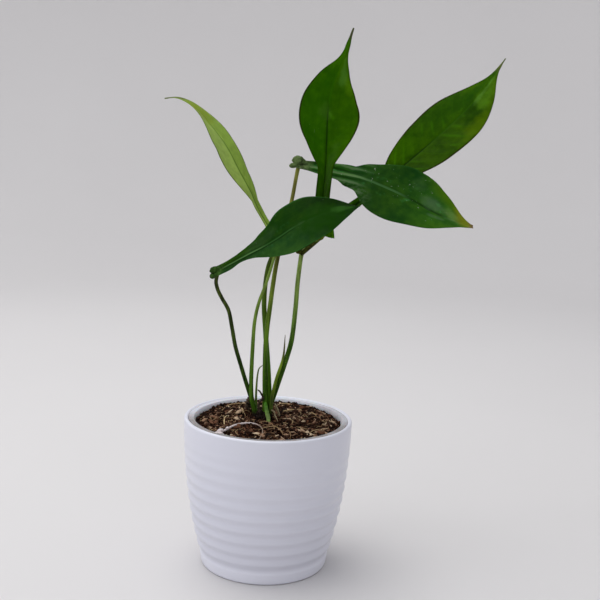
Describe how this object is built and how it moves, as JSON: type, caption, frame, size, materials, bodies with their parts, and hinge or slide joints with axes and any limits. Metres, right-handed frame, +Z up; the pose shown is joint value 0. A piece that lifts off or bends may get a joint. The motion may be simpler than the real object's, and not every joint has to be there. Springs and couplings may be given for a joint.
{
  "type": "potted philodendron",
  "caption": "Potted philodendron: glossy pointed leaves on slender stalks, rooted in bark mix in a nursery pot that stands inside a white pot with soft horizontal ribs.",
  "frame": {"origin": "centre of the outer pot's flat underside", "axes": "+Z up along the pot's axis, -Y towards the plant's front, as it is seen"},
  "size_m": [0.2706, 0.1356, 0.4302],
  "materials": {
    "pot_plastic": "satin, moulded, with soft ribs",
    "nursery_plastic": "matt, thin, slightly translucent",
    "potting_mix": "rough bark and peat with chips and fibres",
    "crown_tissue": "rough, corky",
    "leaf_green": "satin to gloss, veined",
    "leaf_dark": "gloss, veined",
    "leaf_pale": "satin, soft, veined",
    "stalk_green": "satin",
    "dry_brown": "dry, papery",
    "root_brown": "matt",
    "label_nylon": "clear to milky, smooth"
  },
  "bodies": {
    "root": {"outer_pot": "pot_plastic", "nursery_pot": "nursery_plastic", "potting_mix": "potting_mix", "crown": "crown_tissue", "leaf_upright": "leaf_green", "leaf_right": "leaf_dark", "leaf_back": "leaf_green", "leaf_front": "leaf_dark", "leaf_young": "leaf_pale", "stalk_upright": "stalk_green", "stalk_right": "stalk_green", "stalk_back": "stalk_green", "stalk_front": "stalk_green", "stalk_young": "stalk_green", "stalk_sheath": "stalk_green", "new_shoot": "stalk_green", "cut_stub": "stalk_green", "dry_scale": "dry_brown", "old_stump": "dry_brown", "root_behind": "root_brown", "root_front": "root_brown", "label_loop": "label_nylon"}
  },
  "joints": []
}
